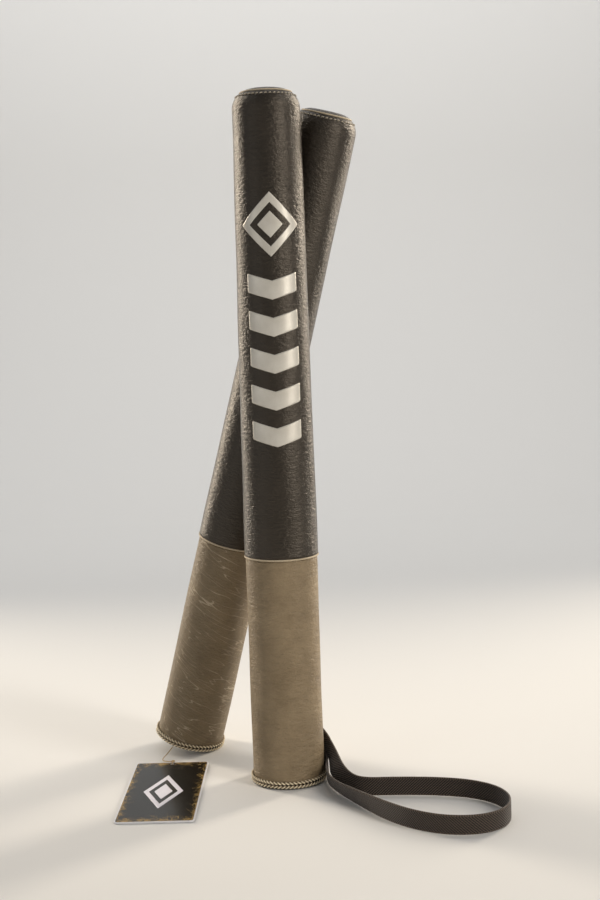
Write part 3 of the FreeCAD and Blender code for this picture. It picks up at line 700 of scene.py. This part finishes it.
connect(film, "Roughness", spread(film, specks, 0, 1, 0.25, 0.45))
scratches = noise(film, film_spot, 1600, 5)
connect(film, "Normal", emboss(film, calc(film, "MULTIPLY_ADD", specks, 0.5, scratches),
                               0.02 * MM, 0.5))
for node_name, material in (("tag_card", card_board), ("tag_film", film)):
    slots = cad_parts[node_name].data.materials
    slots.clear()
    slots.append(material)


# %% [markdown]
# ## Printed marks
# The marks are plain shapes of this lesson's own: a diamond ring round a solid diamond, and bent
# bars. Each is a thin foil: a top grid and a bottom grid whose borders meet, so the foil fades to
# nothing at its edge. The ring is one closed band, so its corners show no joint. A foil is worked
# out flat, in metres across and along, and then wrapped.

# %% Foils
def foil(across, along, place, thick, ring=False):
    """Two grids over the same flat outline; `place` puts flat points and a height on the object.

    The foil thins at its borders. In a ring the rows run round to where they began.
    """
    rows = np.linspace(-1, 1, across.shape[0])[:, None] * (0 if ring else 1)
    columns = np.linspace(-1, 1, across.shape[1])[None, :]
    swell = np.minimum(1 - rows ** 20, 1 - columns ** 20) * thick
    texture = pairs(across, along)
    return [(place(across, along, swell), texture), (place(across, along, 0 * swell), texture)]


def diamond_mark(half_across, half_along, inner, core, place, thick, steps=26):
    """Grids of a diamond ring, all round from one tip, and a solid diamond inside it."""
    tips = np.array([(1, 0), (0, 1), (-1, 0), (0, -1), (1, 0)]) * (half_across, half_along)
    share = np.arange(4 * steps + 1) / steps
    outline = np.column_stack([np.interp(share, np.arange(5), tips[:, axis]) for axis in (0, 1)])
    band = outline[:, None] * np.linspace(1, inner, 9)[None, :, None]
    slant = np.linspace(-1, 1, 25)
    one, two = np.meshgrid(slant, slant, indexing="ij")
    solid = ((one - two) / 2 * half_across * core, (one + two) / 2 * half_along * core)
    return (foil(band[..., 0], band[..., 1], place, thick, ring=True)
            + foil(*solid, place, thick))


print_ink = finish("lilac_ink", (0.70, 0.67, 0.74), 0.35, coat_weight=0.3, coat_roughness=0.15)
ink_grain = noise(print_ink, surface_metres(print_ink), 1400, 4)
tint(print_ink, ink_grain, (0.66, 0.63, 0.71), (0.86, 0.84, 0.90))
connect(print_ink, "Normal", emboss(print_ink, ink_grain, 0.02 * MM, 0.5))
film_height = card_thick / 2 + film_top
tag_mark = piece("tag_mark", diamond_mark(
    17.5 * MM, 42 * MM, 0.72, 0.46,
    lambda across, along, height: on_tag(along - 3 * MM, across, height + film_height), 0.05 * MM))
dress(tag_mark, "hang_tag", print_ink, "tag_print")


# %% [markdown]
# ## Turned pieces of a stick
# Most of a stick is round, so a piece is a profile carried round the axis. A profile is a closed
# line of radius and level: up the outer face, over the rim and back down the inner face, so the
# leather has a real thickness. Hand-stretched leather isn't perfectly round: a few slow waves
# round and along lift it by a fraction of a millimetre, and the printed marks follow them.

# %% Slow waves in the leather
def slow_waves(angle, level, seed, height):
    """A sum of waves with whole numbers of turns round the stick, from a seeded choice."""
    chooser = np.random.default_rng(seed)
    total = 0
    for _ in range(9):
        turns = chooser.integers(1, 7)
        per_metre = chooser.uniform(8, 75)
        start = chooser.uniform(0, 2 * math.pi)
        total = total + np.sin(turns * angle + per_metre * level + start)
    return total * height / 9


SEEDS = {"front": 11, "rear": 29}
wave_height = 0.55 * MM


def cover_radius(side, angle, level):
    """Outer radius of the striking cover, with its waves, which fade at both ends."""
    fade = np.clip((level - cover_low) / 0.02, 0, 1) * np.clip((stick_length - level) / 0.04, 0, 1)
    straight = strike_radius - taper * (level - lip_level)
    return straight + fade * slow_waves(angle, level, SEEDS[side], wave_height)


def grip_wave(side, angle, level):
    """How far the grip leather stands out or in, fading to nothing at both ends."""
    fade = np.clip((level - grip_low - 0.006) / 0.015, 0, 1) * np.clip((grip_high - level) / 0.012, 0, 1)
    return fade * slow_waves(angle, level, SEEDS[side] + 1, wave_height)


# %% Profiles
def turned(radius, level, angle, texture_radius):
    """A grid from rows of radius and level, each for every angle, with its texture in metres."""
    radius, level, angle = np.broadcast_arrays(radius, level, angle)
    along = run_length(pairs(radius[:, 0], level[:, 0]))
    return round_points(radius, angle, level), pairs(angle * texture_radius, along[:, None])


def round_angles(count):
    """Angles all the way round, the last one equal to the first."""
    return np.linspace(0, 2 * math.pi, count + 1)[None, :]


tip_ring = tip_radius + taper * tip_round - tip_round * math.hypot(1, taper)
tip_base = stick_length - tip_round
seam_angle = math.atan2(piping_level - tip_base, piping_ring - tip_ring)
seam_gap = (piping_thick / 2 + 0.15 * MM) / tip_round


def tip_arc(angle, depth=0.0):
    """Radius and level on the rounded tip edge, `depth` below its surface."""
    reach = tip_round - depth
    return tip_ring + reach * np.cos(angle), tip_base + reach * np.sin(angle)


def striking_cover(side):
    """Outer wall up the taper, round the tip edge, down into the seam and back inside."""
    angle = round_angles(160)
    wall = np.linspace(cover_low, tip_base + taper * tip_round, 230)[:, None]
    arc = np.linspace(0.03, seam_angle - seam_gap, 22)[:, None]
    rolled = np.linspace(0, 1, 5)[1:, None]
    edge = seam_angle - seam_gap + 0.5 * seam_gap * rolled ** 2
    arc_radius, arc_level = tip_arc(arc)
    roll_radius, roll_level = tip_arc(edge, leather * rolled)
    inner = np.linspace(tip_base, cover_low, 8)[:, None]
    inner_radius = strike_radius - taper * (inner - lip_level) - leather
    lip = np.array([[cover_low]])
    radius = [cover_radius(side, angle, wall), arc_radius + 0 * angle, roll_radius + 0 * angle,
              inner_radius + 0 * angle, cover_radius(side, angle, lip)]
    level = [wall + 0 * angle, arc_level + 0 * angle, roll_level + 0 * angle,
             inner + 0 * angle, lip + 0 * angle]
    return turned(np.vstack(radius), np.vstack(level), angle, strike_radius)


def tip_cap():
    """The end disc: from the seam over the last of the rounded edge to the flat middle."""
    angle = round_angles(120)
    rolled = np.linspace(1, 0, 5)[:, None]
    edge = seam_angle + seam_gap - 0.5 * seam_gap * rolled ** 2
    roll_radius, roll_level = tip_arc(edge, leather * rolled)
    arc = np.linspace(seam_angle + seam_gap, math.pi / 2, 18)[1:, None]
    arc_radius, arc_level = tip_arc(arc)
    flat = np.linspace(tip_ring, 0, 14)[1:, None]
    under = np.linspace(0, roll_radius[0, 0] - leather, 5)[:, None]
    radius = np.vstack([roll_radius, arc_radius, flat, under, roll_radius[:1]])
    under_level = roll_level[0, 0] - 0.2 * MM + 0 * under
    level = np.vstack([roll_level, arc_level, stick_length + 0 * flat, under_level, roll_level[:1]])
    return turned(radius, level, angle, tip_radius)


def grip_cover(side):
    """A straight sleeve, its outer face with waves and both rims rolled over."""
    angle = round_angles(160)
    outer = np.linspace(grip_low, grip_high, 110)[:, None]
    inner = np.linspace(grip_high, grip_low, 4)[:, None]
    wall = grip_radius + grip_wave(side, angle, outer)
    radius = np.vstack([wall, grip_radius - leather + 0 * inner + 0 * angle, wall[:1]])
    level = np.vstack([outer, inner, outer[:1]]) + 0 * angle
    return turned(radius, level, angle, grip_radius)


def ring(ring_radius, level, thick):
    """A ring of round cord about the axis."""
    turn = np.linspace(0, 2 * math.pi, 21)[:, None]
    return turned(ring_radius + thick / 2 * np.cos(turn), level + thick / 2 * np.sin(turn),
                  round_angles(140), ring_radius)


def butt_cap():
    """The end disc with its upturned skirt: under face, rounded edge, skirt, and inside."""
    angle = round_angles(140)
    edge_round = 1.5 * MM
    bend = np.linspace(-math.pi / 2, 0, 9)[:, None]
    flat = np.linspace(0, grip_radius - edge_round, 16)[:-1, None]
    inside = np.array([grip_radius - leather, grip_radius - leather, 0])[:, None]
    radius = np.vstack([flat, grip_radius - edge_round + edge_round * np.cos(bend),
                        [[grip_radius]], inside])
    level = np.vstack([0 * flat, edge_round + edge_round * np.sin(bend), [[skirt_top]],
                       [[skirt_top], [2 * MM], [2 * MM]]])
    return turned(radius, level, angle, grip_radius)


for side in PLACES:
    cover = stick_piece(side, "striking_leather", [striking_cover(side)], black_leather,
                        "striking_leather", "striking_cover")
    stick_piece(side, "tip_leather", [tip_cap()], black_leather, "striking_leather", "tip_cap")
    sleeve = stick_piece(side, "grip_leather", [grip_cover(side)], GRIP_LEATHER[side],
                         "grip_leather", "grip_cover")
    stick_piece(side, "butt_leather", [butt_cap()], butt_leather, "butt_leather", "butt_cap")
    print(side, "cover", len(cover.data.polygons), "grip", len(sleeve.data.polygons), "faces")


# %% [markdown]
# ## Edges: piping and rolled lip
# A thin welt cord is sewn into the tip seam, and the grip's upper edge is a rolled hem over the
# foot of the striking cover. Both are rings of round section.

# %% Piping and lip
for side in PLACES:
    stick_piece(side, "tip_welt", [ring(piping_ring, piping_level, piping_thick)], cream_leather,
                "cream_trim", "tip_piping")
    stick_piece(side, "rolled_lip", [ring(lip_ring, lip_level, lip_thick)], cream_leather,
                "cream_trim", "grip_lip")


# %% [markdown]
# ## Braided lacing
# Two rows of flat lace are braided round the butt seam, and read as rows of small slanted humps.
# Each row is a two-strand rope laid in a ring: a strand's centre circles the ring's line once for
# every two humps. The upper row winds the other way, so the two rows meet in small arrows. The
# lace colour has painted light where a strand lies outermost and painted shade where it dives
# between the humps.

# %% Lacing
hump_pitch = 3.5 * MM
# The lace is cream; its dark colour is painted shade where a strand dives between the humps.
lacing_finish = fibre_finish("cream_lace", (0.19, 0.13, 0.07), (0.92, 0.79, 0.56), 0.5, 0.9 * MM,
                             hump_pitch)
strand_half_out, strand_half_up = 0.62 * MM, 0.72 * MM
swing_out, swing_up = 0.75 * MM, 0.80 * MM
lacing_ring = lacing_outer - 0.95 * MM


def lacing_row(level, hand):
    """Grids of two oval strands that wind round a ring at `level`."""
    turns = round(2 * math.pi * lacing_ring / hump_pitch / 2)
    angle = np.linspace(0, 2 * math.pi, turns * 18 + 1)[:, None]
    around = np.linspace(0, 2 * math.pi, 11)[None, :]
    grids = []
    for strand in (0, math.pi):
        wind = hand * turns * angle + strand
        radius = lacing_ring + swing_out * np.cos(wind) + strand_half_out * np.cos(around)
        height = level + swing_up * np.sin(wind) + strand_half_up * np.sin(around)
        grids.append((round_points(radius, angle, height),
                      pairs(around * MM, wind * hump_pitch / math.pi)))
    return grids


for side in PLACES:
    for row, hand in (("lower", 1), ("upper", -1)):
        braid = stick_piece(side, f"braid_{row}", lacing_row(lacing_levels[row], hand),
                            lacing_finish, "cream_lacing", f"lacing_{row}")
print("lacing faces in a row:", len(braid.data.polygons))


# %% [markdown]
# ## Stitches
# A stitch is a short bead of thread that arches out of the leather and dives back in at both
# ends. One small grid is worked out once, and then set at every place with that place's three
# directions, as one array.

# %% Stitch beads
def beads(places, runs, outs, length, thick):
    """Beads of thread at many places: each lies along its run and arches outwards."""
    along = np.linspace(-1, 1, 7)[:, None]
    around = np.linspace(0, 2 * math.pi, 7)[None, :]
    girth = thick / 2 * np.sqrt(1 - along ** 8)
    ahead_part = along * length / 2 + 0 * around
    side_part = girth * np.cos(around)
    out_part = girth * np.sin(around) + 0.55 * thick * (1 - along ** 2) - 0.15 * thick
    sides = np.cross(outs, runs)
    grid = (places[:, None, None] + ahead_part[None, ..., None] * runs[:, None, None]
            + side_part[None, ..., None] * sides[:, None, None]
            + out_part[None, ..., None] * outs[:, None, None])
    return grid, pairs(around * thick / 2, along * length / 2)


stitch_pitch, stitch_length, thread_thick = 3.6 * MM, 2.9 * MM, 0.75 * MM
tip_stitch_drop, tip_stitch_slant, tip_thread_thick = 5 * MM, 0.3, 1.1 * MM


def tip_stitches():
    """The ring of stitches below the tip seam, each a little aslant."""
    angle_down = seam_angle - tip_stitch_drop / tip_round
    radius, level = tip_arc(angle_down)
    count = int(2 * math.pi * radius / stitch_pitch)
    turn = np.arange(count) * 2 * math.pi / count
    radial = np.column_stack([np.cos(turn), np.sin(turn), 0 * turn])
    outs = radial * math.cos(angle_down) + np.array([0, 0, math.sin(angle_down)])
    around = np.column_stack([-np.sin(turn), np.cos(turn), 0 * turn])
    runs = (around * math.cos(tip_stitch_slant)
            + np.cross(outs, around) * math.sin(tip_stitch_slant))
    return beads(round_points(radius, turn, level), runs, outs, stitch_length, tip_thread_thick)


for side in PLACES:
    stick_piece(side, "tip_stitches", [tip_stitches()], thread_finish, "thread", "tip_stitching")
print("stitches round a tip:", tip_stitches()[0].shape[0])


# %% [markdown]
# ## Back seams
# Each leather tube closes in a seam up the back of the stick: a low raised fold with a row of
# stitches beside it. The fold is a half-round profile carried straight up the leather.

# %% Back seams
seam_azimuth = math.radians(130)
fold_width, fold_height = 3 * MM, 0.8 * MM


def seam_fold(low, high, radius_of):
    """A low rounded ridge from one level to another, closed at both ends."""
    level = np.linspace(low, high, 60)[:, None]
    turn = np.linspace(0, 2 * math.pi, 15)[None, :]
    across = fold_width / 2 * np.cos(turn) + 0 * level
    ends = np.clip(np.minimum(level - low, high - level) / fold_width, 0, 1) ** 0.5
    height = np.where(np.sin(turn) > 0, fold_height * np.sin(turn), 0.4 * MM * np.sin(turn)) * ends
    angle = seam_azimuth + across / grip_radius
    radius = radius_of(seam_azimuth, level) + height
    texture = pairs(across, level)
    return (capped(round_points(radius, angle, level)),
            np.concatenate([texture[:1], texture, texture[-1:]]))


def seam_stitches(low, high, radius_of, shift):
    """A row of stitches up the stick, `shift` metres to one side of the fold."""
    count = int((high - low) / stitch_pitch)
    level = low + (np.arange(count) + 0.5) * (high - low) / count
    angle = seam_azimuth + shift / grip_radius
    outs = np.broadcast_to([math.cos(angle), math.sin(angle), 0.0], (count, 3))
    places = round_points(radius_of(angle, level), angle, level)
    return beads(places, np.broadcast_to(UP, (count, 3)), outs, stitch_length, thread_thick)


for side in PLACES:
    runs = {
        "striking": (lip_level + 4 * MM, tip_base - 3 * MM, black_leather,
                     lambda angle, level, side=side: cover_radius(side, angle, level)),
        "grip": (grip_low + 7 * MM, grip_high - 2 * MM, GRIP_LEATHER[side],
                 lambda angle, level, side=side: grip_radius + grip_wave(side, angle, level)),
    }
    for part, (low, high, material, radius_of) in runs.items():
        stick_piece(side, f"{part}_fold", [seam_fold(low, high, radius_of)], material,
                    f"{part}_leather", f"{part}_welt")
        stick_piece(side, f"{part}_seam_stitches",
                    [seam_stitches(low, high, radius_of, 3 * MM)], thread_finish, "thread")
print("seams from", round(lip_level, 3), "to", round(tip_base, 3))


# %% [markdown]
# ## Strap patch
# A leather patch holds the two strap ends on the grip. Its outline is a rounded rectangle. Its
# top stands highest over the strap ends and falls to a thin edge above and below them. The grid
# goes out from the middle of the top to the rim and back under to the middle.

# %% Strap patch
patch_azimuth = math.radians(75)
patch_low, patch_high = (corner.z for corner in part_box("front_strap_patch"))
patch_half_up = (patch_high - patch_low) / 2
patch_half_across = 14.2 * MM
patch_thick, patch_edge, patch_lift = 3.5 * MM, 1.7 * MM, 0.1 * MM


def patch_spot(across, up, height):
    """A place over the grip leather: metres across and up from the patch's middle, and out."""
    angle = patch_azimuth + across / grip_radius
    return round_points(grip_radius + height, angle, (patch_low + patch_high) / 2 + up)


def patch_dome(across, up):
    """Height of the patch's top over the grip."""
    level = (patch_low + patch_high) / 2 + up
    humps = sum(np.exp(-((level / MM - end) / 9.5) ** 6) for end in end_levels)
    inwards = np.clip((across + patch_half_across) / (2 * patch_half_across), 0, 1)
    return patch_edge + (patch_thick - patch_edge) * np.clip(humps, 0, 1) * (1 - 0.35 * inwards ** 3)


def patch_grid():
    """The closed patch: top, rolled rim and underside as one grid of shrinking outlines."""
    turn = np.linspace(0, 2 * math.pi, 97)[None, :]
    share = np.concatenate([np.linspace(0, 0.93, 22), [0.97, 1.0, 1.0, 0.97], np.linspace(0.9, 0, 6)])
    drop = np.concatenate([np.ones(22), [0.93, 0.7, 0.25, 0.02], np.zeros(6)])
    corner = 0.22
    wide = np.sign(np.cos(turn)) * np.abs(np.cos(turn)) ** corner
    tall = np.sign(np.sin(turn)) * np.abs(np.sin(turn)) ** corner
    across = patch_half_across * wide * share[:, None]
    up = patch_half_up * tall * share[:, None]
    height = patch_lift + drop[:, None] * patch_dome(across, up)
    return patch_spot(across, up, height), pairs(across, up)


def patch_stitches():
    """Stitches round the patch, inside its edge."""
    inset = 2.6 * MM
    wide, tall = patch_half_across - inset, patch_half_up - inset
    columns, rows = int(2 * wide / stitch_pitch), int(2 * tall / stitch_pitch)
    column_at = (np.arange(columns) + 0.5) * 2 * wide / columns - wide
    row_at = (np.arange(rows) + 0.5) * 2 * tall / rows - tall
    across = np.concatenate([column_at, column_at, np.full(rows, wide), np.full(rows, -wide)])
    up = np.concatenate([np.full(columns, tall), np.full(columns, -tall), row_at, row_at])
    places = patch_spot(across, up, patch_lift + patch_dome(across, up))
    angle = patch_azimuth + across / grip_radius
    outs = round_points(1, angle, 0)
    level_run = (np.arange(len(across)) < 2 * columns)[:, None]
    runs = np.where(level_run, np.cross(UP, outs), UP)
    return beads(places, runs, outs, stitch_length, thread_thick)


for side in PLACES:
    stick_piece(side, "patch_leather", [patch_grid()], GRIP_LEATHER[side], "grip_leather",
                "strap_patch")
    stick_piece(side, "patch_stitches", [patch_stitches()], thread_finish, "thread",
                "patch_stitching")
print(f"patch {2 * patch_half_across:.4f} by {2 * patch_half_up:.4f} m")


# %% [markdown]
# ## Marks on the striking covers
# The foil marks run down the cover: a diamond above, and five bent bars below it. A bent bar is a
# band whose middle line falls away to both sides, so it's a function of across and along. They
# follow the cover's own radius, waves included.

# %% Marks on the leather
silver_foil = finish("silver_foil", (0.56, 0.53, 0.47), 0.38, metallic=0.25, coat_weight=0.15,
                     coat_roughness=0.3)
foil_spot = surface_metres(silver_foil)
foil_grain = noise(silver_foil, foil_spot, 1100, 5, 0.65)
foil_wear = spread(silver_foil, noise(silver_foil, foil_spot, 60, 5), 0.35, 0.7)
foil_tone = calc(silver_foil, "MULTIPLY_ADD", foil_wear, 0.5,
                 calc(silver_foil, "MULTIPLY", foil_grain, 0.5))
tint(silver_foil, foil_tone, (0.60, 0.56, 0.48), (0.82, 0.78, 0.70))
connect(silver_foil, "Roughness", spread(silver_foil, foil_grain, 0.3, 0.7, 0.32, 0.48))
connect(silver_foil, "Normal", emboss(silver_foil, foil_grain, 0.05 * MM, 0.6))
MARK_AZIMUTHS = {"front": math.radians(-90), "rear": math.radians(62)}
diamond_level, bars_high = 487.5 * MM, 448 * MM
bar_count, bar_pitch, bar_height, bar_rise, bar_half = 5, 31.2 * MM, 17 * MM, 7 * MM, 23 * MM
foil_thick, foil_sink = 0.07 * MM, 0.02 * MM


def over_cover(side, centre_level):
    """A function that wraps flat points round the striking cover of one stick."""
    def wrap(across, along, height):
        level = centre_level + along
        angle = MARK_AZIMUTHS[side] + across / (strike_radius - taper * (level - lip_level))
        radius = cover_radius(side, angle, level) + height - foil_sink
        return round_points(radius, angle, level)
    return wrap


def bent_bar(side, level):
    """Grids of one bar that points down the stick."""
    share = np.linspace(-1, 1, 41)[:, None]
    thick = np.linspace(-1, 1, 11)[None, :]
    across = bar_half * share + 0 * thick
    along = bar_height / 2 * thick + bar_rise * (np.abs(share) - 0.5)
    return foil(across, along, over_cover(side, level), foil_thick)


for side in PLACES:
    stick_piece(side, "diamond_mark", diamond_mark(
        27 * MM, 27.5 * MM, 0.66, 0.42, over_cover(side, diamond_level), foil_thick),
        silver_foil, "cream_trim")
    bar_levels = bars_high - bar_height / 2 - bar_rise / 2 - np.arange(bar_count) * bar_pitch
    stick_piece(side, "bar_marks", [grid for level in bar_levels for grid in bent_bar(side, level)],
                silver_foil, "cream_trim")


# %% [markdown]
# ## Inner pieces
# The tube, its plugs and the foam are covered by the leather, but they belong to the stick, so
# each gets its own plain finish on Object coordinates.

# %% Inner finishes
def plain_finish(name, dark, light, roughness, scale, depth):
    """A finish with a cloudy tone and a fine bump."""
    made = finish(name, dark, roughness)
    spot = add(made, "ShaderNodeTexCoord", "Object")
    tone = noise(made, spot, scale, 4)
    tint(made, tone, dark, light)
    connect(made, "Normal", emboss(made, tone, depth, 0.6))
    return made


INNER = {
    "core_tube": plain_finish("tube_plastic", (0.70, 0.70, 0.67), (0.80, 0.80, 0.78), 0.4, 400,
                              0.02 * MM),
    "core_plug": plain_finish("plug_plastic", (0.10, 0.10, 0.11), (0.15, 0.15, 0.16), 0.5, 600,
                              0.03 * MM),
    "foam": plain_finish("closed_foam", (0.13, 0.13, 0.14), (0.19, 0.19, 0.20), 0.9, 1500, 0.2 * MM),
    "pad": plain_finish("firm_foam", (0.08, 0.08, 0.08), (0.12, 0.12, 0.12), 0.85, 1200, 0.1 * MM),
}
for node_name, node_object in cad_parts.items():
    for part, material in INNER.items():
        if part in node_name:
            node_object.data.materials.clear()
            node_object.data.materials.append(material)
